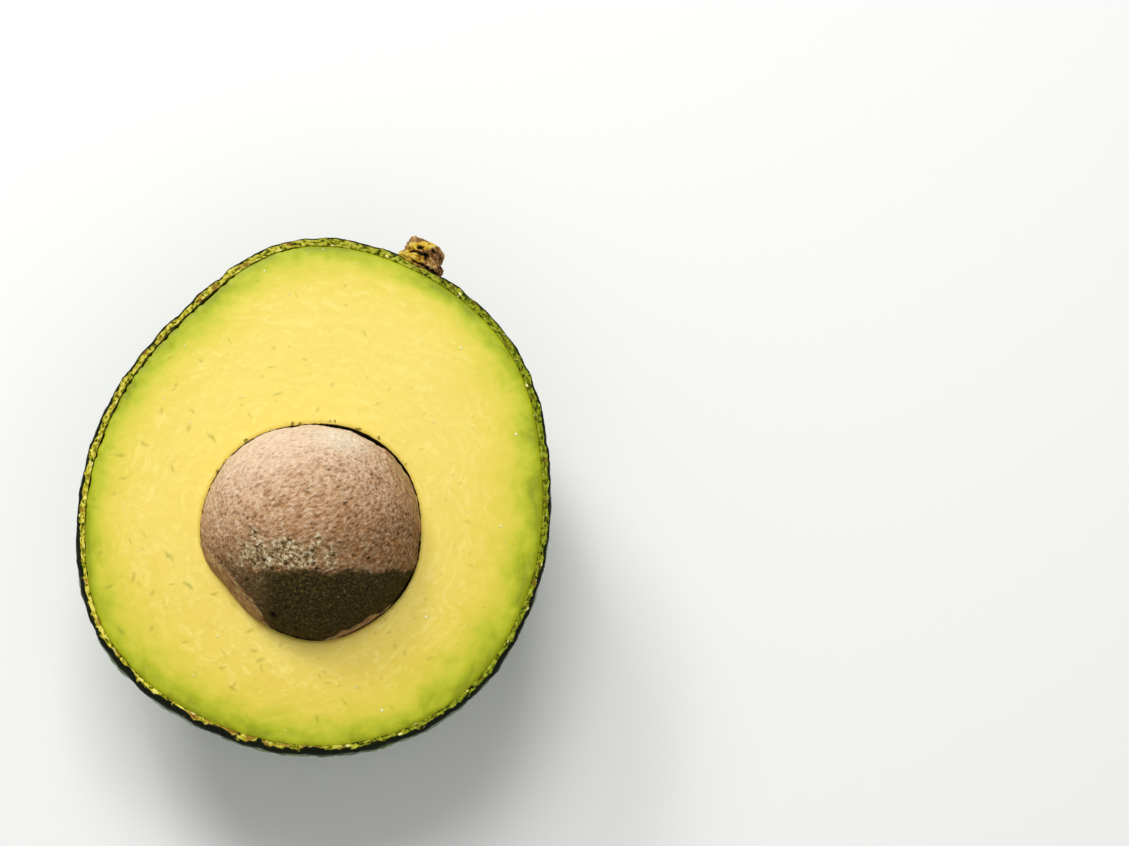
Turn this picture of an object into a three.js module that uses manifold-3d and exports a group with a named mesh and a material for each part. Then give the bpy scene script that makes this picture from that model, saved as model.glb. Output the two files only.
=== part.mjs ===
// Half of a round avocado, cut lengthwise just beside its stem. It lies on its skin with the cut
// face up: the peel, the flesh, the stone in its hollow and the corky stem button at one end.
// Millimetres. +Z is up, +Y points to the stem end, and the origin is the middle of the small
// flat spot that the half rests on.

import * as THREE from "three";
import { mergeVertices } from "three/addons/utils/BufferGeometryUtils.js";
import Module from "manifold-3d";

// Driving dimensions of the fruit.
// Distance from the middle of the cut face to its edge, every 30 degrees clockwise from the stem end.
const RIM_RADII = [42.3, 41.3, 39.1, 40.2, 42.8, 43.5, 43.1, 43.2, 39.6, 37.5, 38.0, 42.8];
const BELLY_DEPTH = 38.5; // from the fruit's middle plane down to the skin, before it is flattened
const FLAT_DROP = 0.7; // how much the resting spot takes off the bottom of the belly
const CUT_OFFSET = 4.3; // the knife passed this far above the middle plane, clear of the stem
const BLOSSOM_SAG = 2.0; // the belly hangs this far towards the blossom end
const PEEL_THICKNESS = 1.3;
const TOUCH_GAP = 0.3; // left between pieces that touch

// The pebbled skin.
const PEBBLE_HEIGHT = 0.2;
const PEBBLE_PITCH = 6.4;
const RIM_PEBBLES = 0.35; // share of their height that the pebbles have at the cut
const PEBBLE_FADE = 8; // how far below the cut they reach their full height

// The stone, and the hollow that it sits in.
// Distance from its middle to its side, every 30 degrees clockwise from the stem end.
const STONE_RADII = [18.3, 18.6, 18.1, 18.0, 17.6, 17.8, 16.9, 16.2, 18.1, 18.4, 18.6, 18.1];
const STONE_RISE = 17.4; // from its middle to its top and bottom
const STONE_SINK = 1.5; // the stone's middle lies this far under the cut face
const STONE_ASIDE = 2.1; // across the fruit
const STONE_TO_BLOSSOM = 6.8; // along the fruit, from the middle of the cut face
const HOLLOW_CLEARANCE = 0.6;
const HOLLOW_SHIFT = 0.24; // the hollow stands off the stone more on its stem side

// The stem button, as a turned outline: radius, and height above the skin at the stem end.
const STEM_OUTLINE = [
  [0, -3.2], [1.9, -3.2], [2.3, -2.8], [2.3, 0.2], [3.6, 0.3], [4.05, 0.8], [3.95, 1.5],
  [3.55, 1.95], [3.3, 2.15], [3.5, 2.6], [3.45, 3.5], [3.1, 4.2], [2.4, 4.7], [1.5, 4.85],
  [0.9, 4.5], [0, 4.3],
];
const STEM_LUMP = 0.09; // share of the radius
const STEM_LEAN = 0.12; // how far the button leans to -X for each millimetre of its height
const STEM_ASIDE = -0.45; // the button's place across the fruit
const STEM_SINK = 0.3; // how deep the button sits in the dip of the skin round it

// How finely each surface is faceted: the detail of an icosahedron's subdivision.
const SKIN_DETAIL = 21;
const INNER_DETAIL = 10;
const STONE_DETAIL = 10;
const HOLLOW_DETAIL = 8;
const STEM_SIDES = 28;

const MIDDLE_Z = BELLY_DEPTH - FLAT_DROP;
const CUT_Z = MIDDLE_Z + CUT_OFFSET;
const STONE_CENTRE = new THREE.Vector3(
  STONE_ASIDE,
  BLOSSOM_SAG - STONE_TO_BLOSSOM,
  CUT_Z - STONE_SINK,
);

// A smooth closed run through equally spaced values; turn goes from 0 to 1 once round.
function roundTrip(values, turn) {
  const at = (turn - Math.floor(turn)) * values.length;
  const start = Math.floor(at);
  const t = at - start;
  const value = (step) => values[(start + step + values.length) % values.length];
  const [a, b, c, d] = [value(-1), value(0), value(1), value(2)];
  return b + 0.5 * t * (c - a + t * (2 * a - 5 * b + 4 * c - d + t * (3 * (b - c) + d - a)));
}

// The height of the pebbles at a point of the skin.
function pebbles(point) {
  const k = (2 * Math.PI) / PEBBLE_PITCH;
  const x = k * point.x;
  const y = k * point.y + 0.8 * Math.sin(0.31 * x);
  const z = k * point.z + 0.8 * Math.sin(0.27 * y);
  const waves = Math.sin(x) * Math.cos(y) + Math.sin(y) * Math.cos(z) + Math.sin(z) * Math.cos(x);
  const belowCut = THREE.MathUtils.smoothstep(CUT_Z - point.z, 0, PEBBLE_FADE);
  return PEBBLE_HEIGHT * waves * THREE.MathUtils.lerp(RIM_PEBBLES, 1, belowCut);
}

// The whole fruit's surface in a unit direction, taken in by inset; pebbled adds the skin's relief.
function fruitPoint(direction, inset, pebbled) {
  const turn = Math.atan2(direction.x, direction.y) / (2 * Math.PI);
  const bulge = Math.hypot(1, CUT_OFFSET / BELLY_DEPTH);
  const radius = roundTrip(RIM_RADII, turn) * bulge - inset;
  const sag = BLOSSOM_SAG * (1 - direction.z * direction.z);
  const point = new THREE.Vector3(
    radius * direction.x,
    radius * direction.y + sag,
    MIDDLE_Z + (BELLY_DEPTH - inset) * direction.z,
  );
  if (pebbled) point.addScaledVector(direction, pebbles(point));
  return point;
}

// The stone's surface in a unit direction, grown by clearance.
function stonePoint(direction, clearance) {
  const turn = Math.atan2(direction.x, direction.y) / (2 * Math.PI);
  const radius = THREE.MathUtils.lerp(roundTrip(STONE_RADII, turn), STONE_RISE, direction.z ** 2);
  return direction.clone().multiplyScalar(radius + clearance).add(STONE_CENTRE);
}

const wasm = await Module();
wasm.setup();

// A closed three.js geometry as a solid that can be joined and cut.
function solidOf(geometry) {
  const bare = new THREE.BufferGeometry();
  bare.setAttribute("position", geometry.getAttribute("position"));
  if (geometry.index) bare.setIndex(geometry.index);
  const merged = mergeVertices(bare, 1e-4);
  const triVerts = new Uint32Array(merged.index.array);
  const vertProperties = new Float32Array(merged.getAttribute("position").array);
  return new wasm.Manifold(new wasm.Mesh({ numProp: 3, vertProperties, triVerts }));
}

// A ball whose every point is moved to pointAt(its direction).
function shapedBall(detail, pointAt) {
  const geometry = new THREE.IcosahedronGeometry(1, detail);
  const position = geometry.getAttribute("position");
  const direction = new THREE.Vector3();
  for (let i = 0; i < position.count; i += 1) {
    direction.fromBufferAttribute(position, i).normalize();
    position.setXYZ(i, ...pointAt(direction).toArray());
  }
  return solidOf(geometry);
}

// Everything above a height, as a block to cut away.
function above(height) {
  const side = 200;
  return solidOf(new THREE.BoxGeometry(side, side, side).translate(0, 0, height + side / 2));
}

// The stem button lies along +Y on the skin at the stem end, grown by clearance.
function stemSolid(clearance) {
  const outline = STEM_OUTLINE.map(([radius, height], i) => {
    const last = i === STEM_OUTLINE.length - 1;
    const rise = i === 0 || i === 1 ? -clearance : last ? clearance : 0;
    return new THREE.Vector2(radius === 0 ? 0 : radius + clearance, height + rise);
  });
  const geometry = new THREE.LatheGeometry(outline, STEM_SIDES);
  const position = geometry.getAttribute("position");
  for (let i = 0; i < position.count; i += 1) {
    const [x, y, z] = [position.getX(i), position.getY(i), position.getZ(i)];
    const angle = Math.atan2(z, x);
    const lump = Math.sin(3 * angle + 0.7 * y) + 0.6 * Math.sin(5 * angle - 1.1 * y);
    const swell = 1 + (y > 0.3 ? STEM_LUMP * 0.6 * lump : 0);
    position.setXYZ(i, x * swell - STEM_LEAN * Math.max(0, y), y, z * swell);
  }
  const skin = fruitPoint(new THREE.Vector3(0, 1, 0), 0, false);
  geometry.translate(skin.x + STEM_ASIDE, skin.y - STEM_SINK, skin.z);
  return solidOf(geometry);
}

function peelSolid() {
  const outside = shapedBall(SKIN_DETAIL, (direction) => {
    const point = fruitPoint(direction, 0, true);
    point.z = Math.max(point.z, 0);
    return point;
  });
  const inside = shapedBall(INNER_DETAIL, (d) => fruitPoint(d, PEEL_THICKNESS, false));
  return outside.subtract(inside).subtract(above(CUT_Z)).subtract(stemSolid(TOUCH_GAP));
}

function fleshSolid() {
  const body = shapedBall(INNER_DETAIL, (d) => fruitPoint(d, PEEL_THICKNESS + TOUCH_GAP, false));
  const hollow = shapedBall(HOLLOW_DETAIL, (d) => stonePoint(d, HOLLOW_CLEARANCE));
  const shifted = hollow.translate([HOLLOW_SHIFT / 2, HOLLOW_SHIFT, HOLLOW_SHIFT]);
  return body.subtract(above(CUT_Z)).subtract(shifted).subtract(stemSolid(TOUCH_GAP));
}

function stoneSolid() {
  return shapedBall(STONE_DETAIL, (d) => stonePoint(d, 0));
}

// A named mesh from a solid.
function meshOf(name, solid, finish) {
  const { numProp, vertProperties, triVerts } = solid.getMesh();
  const geometry = new THREE.BufferGeometry();
  const corners = new THREE.InterleavedBuffer(vertProperties, numProp);
  geometry.setAttribute("position", new THREE.InterleavedBufferAttribute(corners, 3, 0));
  geometry.setIndex(new THREE.BufferAttribute(triVerts, 1));
  const mesh = new THREE.Mesh(geometry, new THREE.MeshStandardMaterial(finish));
  mesh.name = name;
  return mesh;
}

const avocadoHalf = new THREE.Group();
avocadoHalf.add(
  meshOf("peel", peelSolid(), { color: "#2c5a12", roughness: 0.42, metalness: 0 }),
  meshOf("flesh", fleshSolid(), { color: "#f1dc66", roughness: 0.5, metalness: 0 }),
  meshOf("stone", stoneSolid(), { color: "#80604a", roughness: 0.85, metalness: 0 }),
  meshOf("stem_button", stemSolid(0), { color: "#7d5d30", roughness: 0.85, metalness: 0 }),
);

export default avocadoHalf;
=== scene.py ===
# %% [markdown]
# # Half an avocado, with its stone
# The fruit was cut lengthwise, just beside its stem. This half lies on its skin with the cut face
# up. It has four pieces: the peel, the flesh, the stone in its hollow and the corky stem button.
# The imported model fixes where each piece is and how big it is. This script gives each piece its
# fine surface: the pitted rind, the green-to-yellow flesh, the dry seed coat and the cork.

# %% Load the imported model
import math
import random

import bmesh
import bpy
from mathutils import Matrix, Vector, kdtree, noise


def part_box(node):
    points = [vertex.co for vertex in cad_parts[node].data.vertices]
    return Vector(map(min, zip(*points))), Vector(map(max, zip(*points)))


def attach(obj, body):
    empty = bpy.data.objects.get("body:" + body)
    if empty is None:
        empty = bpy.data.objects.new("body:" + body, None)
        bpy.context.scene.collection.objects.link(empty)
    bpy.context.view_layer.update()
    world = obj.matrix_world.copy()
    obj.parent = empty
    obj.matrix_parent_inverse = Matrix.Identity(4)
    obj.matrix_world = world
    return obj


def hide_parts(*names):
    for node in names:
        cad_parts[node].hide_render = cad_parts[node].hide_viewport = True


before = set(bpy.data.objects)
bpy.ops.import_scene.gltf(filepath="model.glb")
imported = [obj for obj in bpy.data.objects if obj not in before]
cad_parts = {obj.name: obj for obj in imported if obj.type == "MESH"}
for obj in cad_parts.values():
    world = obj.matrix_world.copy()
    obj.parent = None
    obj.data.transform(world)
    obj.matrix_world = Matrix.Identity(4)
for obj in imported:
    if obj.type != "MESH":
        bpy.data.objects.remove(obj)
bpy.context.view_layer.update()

# %% [markdown]
# ## The fruit's own sizes
# Shapes are worked out in millimetres and brought to metres when a piece is finished. The outline
# of the cut face is given by its distance from the middle of the face, every 30 degrees clockwise
# from the stem end. These are the same values that the solid pieces were made from.

# %% Driving sizes, in millimetres
MM = 0.001
RIM_RADII = [42.3, 41.3, 39.1, 40.2, 42.8, 43.5, 43.1, 43.2, 39.6, 37.5, 38.0, 42.8]
CUT_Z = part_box("flesh")[1].z / MM
CUT_OFFSET = 4.3
BELLY_DEPTH = 38.5
BLOSSOM_SAG = 2.0
PEEL_THICKNESS = 1.3
MIDDLE_Z = CUT_Z - CUT_OFFSET
FACE_MIDDLE = Vector((0, BLOSSOM_SAG, CUT_Z))
print("cut face at", round(CUT_Z, 2), "mm above the table")

# %% [markdown]
# ## The camera
# The photograph looks down on the cut face, which fills the left of the picture, with the stem end
# turned to the upper right. A little of the skin shows along the lower edge, so the camera stands
# a few degrees towards that side. It aims at the point of the cut plane that is in the middle of
# the picture, so the face falls where it is in the photograph and no lens shift is needed.

# %% Camera over the cut face
PHOTO_WIDTH, PHOTO_HEIGHT = 1129, 846
FACE_PIXEL = (316, 495)
PIXELS_PER_MM = 6.0
STEM_TILT = math.radians(24.1)
LEAN_DOWN = math.radians(7.0)
CAMERA_DISTANCE = 520.0
SENSOR_WIDTH = 36.0

photo_up = Vector((-math.sin(STEM_TILT), math.cos(STEM_TILT), 0))
photo_right = Vector((math.cos(STEM_TILT), math.sin(STEM_TILT), 0))
right_mm = (PHOTO_WIDTH / 2 - FACE_PIXEL[0]) / PIXELS_PER_MM
up_mm = (FACE_PIXEL[1] - PHOTO_HEIGHT / 2) / PIXELS_PER_MM
aim = FACE_MIDDLE + photo_right * right_mm + photo_up * up_mm
lean = Vector((0, 0, 1)) - photo_up * math.tan(LEAN_DOWN)
stand = FACE_MIDDLE + lean.normalized() * CAMERA_DISTANCE

backward = (stand - aim).normalized()
rightward = photo_up.cross(backward).normalized()
upward = backward.cross(rightward)
turned = Matrix((rightward, upward, backward)).transposed()
face_depth = (stand - FACE_MIDDLE).dot(backward)

camera_data = bpy.data.cameras.new("camera")
camera_data.sensor_width = SENSOR_WIDTH
camera_data.lens = SENSOR_WIDTH * face_depth * PIXELS_PER_MM / PHOTO_WIDTH
camera = bpy.data.objects.new("camera", camera_data)
camera.location = stand * MM
camera.rotation_euler = turned.to_euler()
bpy.context.scene.collection.objects.link(camera)
bpy.context.scene.camera = camera
print("lens", round(camera_data.lens, 1), "mm, camera at", [round(c, 3) for c in camera.location])

# %% [markdown]
# ## Shapes shared by the pieces
# A fruit is nearly a ball, but no ball is this lopsided. Three small functions hold the form: one
# runs smoothly through the outline's values, one gives a point of the fruit's surface, and one a
# point of the stone's. `drop` is the angle below the fruit's widest plane.


# %% The fruit's surface
def round_trip(values, turn):
    """A smooth closed run through equally spaced values; turn goes from 0 to 1 once round."""
    count = len(values)
    at = (turn % 1.0) * count
    start = int(at)
    t = at - start
    a, b, c, d = (values[(start + step) % count] for step in (-1, 0, 1, 2))
    return b + 0.5 * t * (c - a + t * (2 * a - 5 * b + 4 * c - d + t * (3 * (b - c) + d - a)))


def heading(turn, rise=0.0):
    """A unit vector, clockwise from the stem end and above the horizon."""
    angle = turn * math.tau
    flat = math.cos(rise)
    return Vector((math.sin(angle) * flat, math.cos(angle) * flat, math.sin(rise)))


def fruit_point(turn, drop, inset):
    radius = round_trip(RIM_RADII, turn) * math.hypot(1, CUT_OFFSET / BELLY_DEPTH) - inset
    out = heading(turn, -drop)
    sag = BLOSSOM_SAG * (1 - out.z * out.z)
    return Vector((radius * out.x, radius * out.y + sag, MIDDLE_Z + (BELLY_DEPTH - inset) * out.z))


def drop_at(height, inset):
    """The drop at which the surface, taken in by inset, reaches a height."""
    return -math.asin((height - MIDDLE_Z) / (BELLY_DEPTH - inset))


def smooth_step(value, low, high):
    t = min(1.0, max(0.0, (value - low) / (high - low)))
    return t * t * (3 - 2 * t)


# %% The stone's surface
# Distance from the stone's middle to its side, every 30 degrees clockwise from the stem end.
STONE_RADII = [18.3, 18.6, 18.1, 18.0, 17.6, 17.8, 16.9, 16.2, 18.1, 18.4, 18.6, 18.1]
STONE_RISE = 17.4
STONE_CENTRE = FACE_MIDDLE + Vector((2.1, -6.8, -1.5))


def stone_point(out, clearance=0.0):
    side = round_trip(STONE_RADII, math.atan2(out.x, out.y) / math.tau)
    radius = side + (STONE_RISE - side) * out.z**2
    return STONE_CENTRE + out * (radius + clearance)


# %% [markdown]
# ## Pulling a ring of points through a shape
# The peel and the flesh are closed walls with the same ring of points at every level: along the
# belly, over the rim and down inside. So one circle is extruded again and again, and each new ring
# is set in place by a function of its turn. Each point remembers its turn in a layer of the mesh.


# %% Loft and finish helpers
WELD = 0.0005  # points nearer than this are made one


def loft(segments, kept, stations):
    """Extrudes one circle through the stations. Each gives a point and its kept values for a turn."""
    mesh = bmesh.new()
    for name in ("turn", *kept):
        mesh.verts.layers.float.new(name)
    turn_layer, *kept_layers = [mesh.verts.layers.float[name] for name in ("turn", *kept)]
    ring = bmesh.ops.create_circle(mesh, segments=segments, radius=1.0)["verts"]
    for index, vert in enumerate(ring):
        vert[turn_layer] = index / segments
    for number, station in enumerate(stations):
        if number:
            inside = set(ring)
            edges = {e for v in ring for e in v.link_edges if e.other_vert(v) in inside}
            made = bmesh.ops.extrude_edge_only(mesh, edges=list(edges))["geom"]
            ring = [item for item in made if isinstance(item, bmesh.types.BMVert)]
        for vert in ring:
            vert.co, *values = station(vert[turn_layer])
            for layer, value in zip(kept_layers, values):
                vert[layer] = value
    return mesh


def finish_piece(name, mesh, node):
    """Welds and closes a mesh made in millimetres, and sets it in the frame in place of a node."""
    bmesh.ops.remove_doubles(mesh, verts=mesh.verts, dist=WELD)
    open_edges = [e for e in mesh.edges if e.is_boundary]
    if open_edges:
        bmesh.ops.holes_fill(mesh, edges=open_edges, sides=0)
    bmesh.ops.recalc_face_normals(mesh, faces=mesh.faces)
    bmesh.ops.scale(mesh, verts=mesh.verts, vec=(MM, MM, MM))
    for face in mesh.faces:
        face.smooth = True
    data = bpy.data.meshes.new(name)
    mesh.to_mesh(data)
    mesh.free()
    piece = bpy.data.objects.new(name, data)
    bpy.context.scene.collection.objects.link(piece)
    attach(piece, "root")
    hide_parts(node)
    print(name, len(data.polygons), "faces, size in mm", [round(s / MM, 1) for s in piece.dimensions])
    return piece


# %% [markdown]
# ## The peel
# The rind of this kind is thick and pebbled, with a small dark pit on top of most pebbles. Pits are
# spread over the belly by the golden angle, each nudged by a seeded draw, so that they lie evenly
# but in no rows. The nearest pit shapes the relief, and its distance is kept for the colour.

# %% Pits of the rind
PIT_SPACING = 2.35
PIT_SIZES = (0.5, 1.3)
HIGHEST_DROP = -0.2  # no pit is needed above this, over the cut
GOLDEN_TURN = 0.6180339887
rng = random.Random(7)
pit_count = int(4 * math.pi * BELLY_DEPTH * RIM_RADII[0] / PIT_SPACING**2)
pits = []
for i in range(pit_count):
    height = 1 - 2 * (i + 0.5) / pit_count
    turn = (i * GOLDEN_TURN) % 1.0 + rng.uniform(-0.004, 0.004)
    drop = -math.asin(height) + rng.uniform(-0.016, 0.016)
    size = rng.uniform(*PIT_SIZES)
    if HIGHEST_DROP < drop < math.pi / 2:
        pits.append((fruit_point(turn, drop, 0), size))
pit_tree = kdtree.KDTree(len(pits))
for i, (point, _) in enumerate(pits):
    pit_tree.insert(point, i)
pit_tree.balance()
print(len(pits), "pits on the half")

# %% Relief of the rind
PEBBLE_HEIGHT = 0.2
PEBBLE_PITCH = 6.4
RIM_PEBBLES = 0.35
PEBBLE_FADE = 8.0
PEBBLE_SHARE = 0.8  # of the pebbles' height, because the ripples add to it
PIMPLE_HEIGHT, PIT_DEPTH, RIPPLE_HEIGHT, STEM_DIP = 0.12, 0.16, 0.18, 0.35
STEM_FOOT = fruit_point(0, 0, 0) + Vector((-0.45, -0.3, 0))


def pebbles(point):
    """The broad pebbles, as on the solid pieces."""
    k = math.tau / PEBBLE_PITCH
    x = k * point.x
    y = k * point.y + 0.8 * math.sin(0.31 * x)
    z = k * point.z + 0.8 * math.sin(0.27 * y)
    waves = math.sin(x) * math.cos(y) + math.sin(y) * math.cos(z) + math.sin(z) * math.cos(x)
    below_cut = smooth_step(CUT_Z - point.z, 0.0, PEBBLE_FADE)
    return PEBBLE_HEIGHT * waves * (RIM_PEBBLES + (1 - RIM_PEBBLES) * below_cut)


def rind_relief(point):
    """Height of the rind over the plain form, and the distance to the nearest pit by its size."""
    _, index, distance = pit_tree.find(point)
    distance /= pits[index][1]
    pimple = PIMPLE_HEIGHT * (1 - smooth_step(distance, 0.1, 1.3))
    hollow = PIT_DEPTH * (1 - smooth_step(distance, 0.12, 0.5))
    waves = RIPPLE_HEIGHT * noise.noise(point / 1.7) + RIPPLE_HEIGHT * noise.noise(point / 4.2)
    stem_dip = STEM_DIP * (1 - smooth_step((point - STEM_FOOT).length, 3.5, 7.5))
    return PEBBLE_SHARE * pebbles(point) + waves + pimple - hollow - stem_dip, distance


# %% Peel from the belly, over the rim and down inside
PEEL_SEGMENTS = 600
BELLY_RINGS = 132
RIM_STEPS = 12
RIM_BEND = 0.3
BEND_MM = 0.15  # the inset that is kept where the rounding ends
WEAR_REACH = 0.8  # how far in the rounding reaches, as a share of its depth
INNER_DIP = 0.1  # the rind's inner edge is this far under the cut
LINING_TOP = 0.3  # the lining starts this far under the cut
FAR_FROM_PITS = 9.0
# How far the skin's edge is rounded, every 30 degrees clockwise from the stem end.
EDGE_WEAR = [0.15, 0.2, 0.3, 0.5, 0.75, 1.0, 1.1, 0.8, 0.5, 0.35, 0.2, 0.15]
# The most that the groove inside the peel gapes, every 30 degrees clockwise from the stem end.
GROOVE_WIDTHS = [0.02, 0.02, 0.02, 0.02, 0.02, 0.02, 0.05, 0.12, 0.2, 0.28, 0.3, 0.15]
# A chip out of the rim: its turn, half its width and its depth.
CHIP_TURN, CHIP_HALF_WIDTH, CHIP_DEPTH = 0.4675, 0.8, 0.9


def edge_wear(turn):
    ragged = noise.noise(heading(turn) * 9.0) + 0.6 * noise.noise(heading(turn) * 31.0)
    chip_mm = abs(turn - CHIP_TURN) * math.tau * RIM_RADII[6]
    chip = CHIP_DEPTH * (1 - smooth_step(chip_mm, 0.0, CHIP_HALF_WIDTH))
    return max(0.12, round_trip(EDGE_WEAR, turn) * (1 + 0.6 * ragged)) + chip


def belly_station(share):
    def place(turn):
        top = drop_at(CUT_Z - edge_wear(turn), 0)
        drop = math.pi / 2 + (top - math.pi / 2) * share
        point = fruit_point(turn, drop, 0)
        relief, pit = rind_relief(point)
        point += heading(turn, -drop) * relief
        point.z = max(point.z, 0.0)
        return point, 0.0, pit, CUT_Z - point.z, 0.0

    return place


def rim_station(share):
    """Over the rounded edge of the skin and across the cut of the peel."""

    def place(turn):
        wear = edge_wear(turn)
        bend = min(1.0, share / RIM_BEND)
        across = max(0.0, (share - RIM_BEND) / (1 - RIM_BEND))
        corner = fruit_point(turn, drop_at(CUT_Z - wear, 0), 0)
        relief = rind_relief(corner)[0]
        inset = wear * WEAR_REACH * (1 - math.cos(bend * math.pi / 2))
        inset += (PEEL_THICKNESS - wear * WEAR_REACH) * across - relief * (1 - across)
        height = CUT_Z - wear * (1 - math.sin(bend * math.pi / 2))
        point = fruit_point(turn, drop_at(CUT_Z, 0), inset)
        grain = 0.1 * noise.noise(point / 0.8) + 0.07 * noise.noise(point / 0.35)
        point.z = height + grain * bend - INNER_DIP * across
        inset_mm = BEND_MM * bend + (PEEL_THICKNESS - BEND_MM) * across
        return point, inset_mm, FAR_FROM_PITS, 0.0, round_trip(GROOVE_WIDTHS, turn)

    return place


def lining_station(share):
    def place(turn):
        start = drop_at(CUT_Z - LINING_TOP, PEEL_THICKNESS)
        drop = start + (math.pi / 2 - start) * share
        point = fruit_point(turn, drop, PEEL_THICKNESS)
        return point, PEEL_THICKNESS, FAR_FROM_PITS, 0.0, round_trip(GROOVE_WIDTHS, turn)

    return place


peel_stations = [belly_station(i / BELLY_RINGS) for i in range(BELLY_RINGS + 1)]
peel_stations += [rim_station(i / RIM_STEPS) for i in range(1, RIM_STEPS + 1)]
peel_stations += [lining_station(share) for share in (0.0, 0.03, 0.1, 0.2, 0.35, 0.55, 0.75, 0.9, 1.0)]
kept_on_peel = ("inset_mm", "pit_mm", "under_cut_mm", "groove_mm")
peel_mesh = loft(PEEL_SEGMENTS, kept_on_peel, peel_stations)
peel = finish_piece("rind", peel_mesh, "peel")

# %% [markdown]
# ## The flesh
# The flesh fills the peel. Its cut face is what the eye sees: nearly flat, with the drag of the
# knife in arcs round the stone, and a broken dark groove where it meets the peel. The hollow
# follows the stone and gapes on its stem side. Each point keeps its depth under the peel as a share
# of the green layer there, so that the colour can follow the layer, and how far the stone is.

# %% Flesh: side, cut face and hollow
FLESH_SEGMENTS = 600
FACE_RINGS = 70
HOLLOW_RINGS = 14
HOLLOW_RIM_RISE = 0.08  # radians, seen from the stone's middle
FLOOR_GAP = 0.3  # under the stone
# Both edges of the face are rounded over this width, and go down by these depths.
LIP, OUTER_LIP_DEPTH, INNER_LIP_DEPTH = 0.5, 0.14, 0.25
# What the side keeps as its distance from the stone, and the hollow as its ripeness.
FAR_FROM_STONE, ALL_YELLOW = 20.0, 9.0
# Depth at which the green has turned to lime, every 30 degrees clockwise from the stem end.
GREEN_WIDTHS = [2.5, 4.0, 5.1, 5.0, 4.8, 4.0, 3.9, 4.4, 2.8, 3.0, 3.5, 3.1]
# Gap between the stone and the flesh at the cut face, every 30 degrees clockwise from the stem end.
HOLLOW_GAPS = [0.75, 0.6, 0.28, 0.35, 0.35, 0.15, 0.08, 0.08, 0.08, 0.12, 0.16, 0.35]


def flesh_inset(turn):
    """Where the flesh starts: the groove beside the peel opens and closes along the rim."""
    grip = noise.noise(heading(turn) * 14.0) + 0.7 * noise.noise(heading(turn) * 43.0)
    return PEEL_THICKNESS + 0.03 + round_trip(GROOVE_WIDTHS, turn) * smooth_step(grip, -0.3, 0.5)


def hollow_rim(turn):
    gap = round_trip(HOLLOW_GAPS, turn)
    ragged = 0.07 * noise.noise(heading(turn) * 22.0) + 0.05 * noise.noise(heading(turn) * 60.0)
    return stone_point(heading(turn, HOLLOW_RIM_RISE), gap + ragged)


def face_relief(point):
    """The knife's drag on the cut face: arcs round the stone and a few broad waves."""
    away = point - STONE_CENTRE
    radius = math.hypot(away.x, away.y)
    out_x, out_y = away.x / radius, away.y / radius
    radius += 3.0 * noise.noise(Vector((point.x / 10, point.y / 10, 8.0)))
    drag = noise.noise(Vector((radius / 1.6, out_x * 3.5, out_y * 3.5)))
    torn = noise.noise(Vector((point.x / 1.1, point.y / 1.1, 5.0)))
    broad = noise.noise(Vector((point.x / 13, point.y / 13, 3.0)))
    return 0.035 * drag + 0.025 * torn + 0.12 * broad


def side_station(share):
    def place(turn):
        top = drop_at(CUT_Z - LIP, flesh_inset(turn))
        drop = math.pi / 2 + (top - math.pi / 2) * share
        return fruit_point(turn, drop, flesh_inset(turn)), 0.0, FAR_FROM_STONE

    return place


def face_station(share):
    def place(turn):
        edge = fruit_point(turn, drop_at(CUT_Z, 0), flesh_inset(turn))
        rim = hollow_rim(turn)
        point = edge.lerp(rim, share)
        depth, left = (point - edge).length, (point - rim).length
        lip = OUTER_LIP_DEPTH * (1 - smooth_step(depth, 0.0, LIP))
        lip += INNER_LIP_DEPTH * (1 - smooth_step(left, 0.0, LIP))
        point.z = CUT_Z + face_relief(point) - lip
        return point, depth / round_trip(GREEN_WIDTHS, turn), left

    return place


def hollow_station(share):
    def place(turn):
        rise = share * -math.pi / 2
        gap = round_trip(HOLLOW_GAPS, turn) * (1 - share) + FLOOR_GAP * share
        return stone_point(heading(turn, rise), gap), ALL_YELLOW, 0.0

    return place


flesh_stations = [side_station(share) for share in (0.0, 0.1, 0.25, 0.4, 0.6, 0.8, 0.92, 1.0)]
face_shares = [0.0, 0.006, 0.013] + [i / FACE_RINGS for i in range(2, FACE_RINGS - 1)]
face_shares += [0.984, 0.991, 0.996, 1.0]
flesh_stations += [face_station(share) for share in face_shares]
flesh_stations += [hollow_station(i / HOLLOW_RINGS) for i in range(HOLLOW_RINGS + 1)]
flesh_mesh = loft(FLESH_SEGMENTS, ("ripeness", "stone_mm"), flesh_stations)
flesh = finish_piece("pulp", flesh_mesh, "flesh")

# %% [markdown]
# ## The stone
# The stone is a seed in a dry, papery coat, nearly a ball and as rough as fine sandpaper. An
# icosphere spreads its points evenly, so the grain has no seam or pole. The lower side of the coat
# is marked for painted shade, with a ragged edge, and the coat is crumbly along that edge, where
# its crumbs get painted glints. Where it has come loose it is a step higher, along flaps that hug
# the hollow's rim.

# %% Stone
STONE_DETAIL = 7
CRUMB_HEIGHT = 0.25
# Where the painted shade on the coat's lower side begins, and how its edge tilts and bends.
SHADE_EDGE = 6.0
SHADE_TILT = 0.12
SHADE_BEND_FROM, SHADE_BEND = -5.0, 0.02
# Flaps of loose coat: first and last turn, how far up they reach, and how far they stand off.
COAT_FLAPS = [(0.49, 0.67, 0.5, 0.3), (0.04, 0.18, 0.6, 0.2), (0.29, 0.42, 0.26, 0.14)]
PIT_IN_COAT = photo_right * -0.355 + photo_up * -0.825 + Vector((0, 0, 0.44))
CRUMBLY_MIDDLE, CRUMBLY_REACH = Vector((-4.2, 3.4)), Vector((11.5, 4.6))


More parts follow.
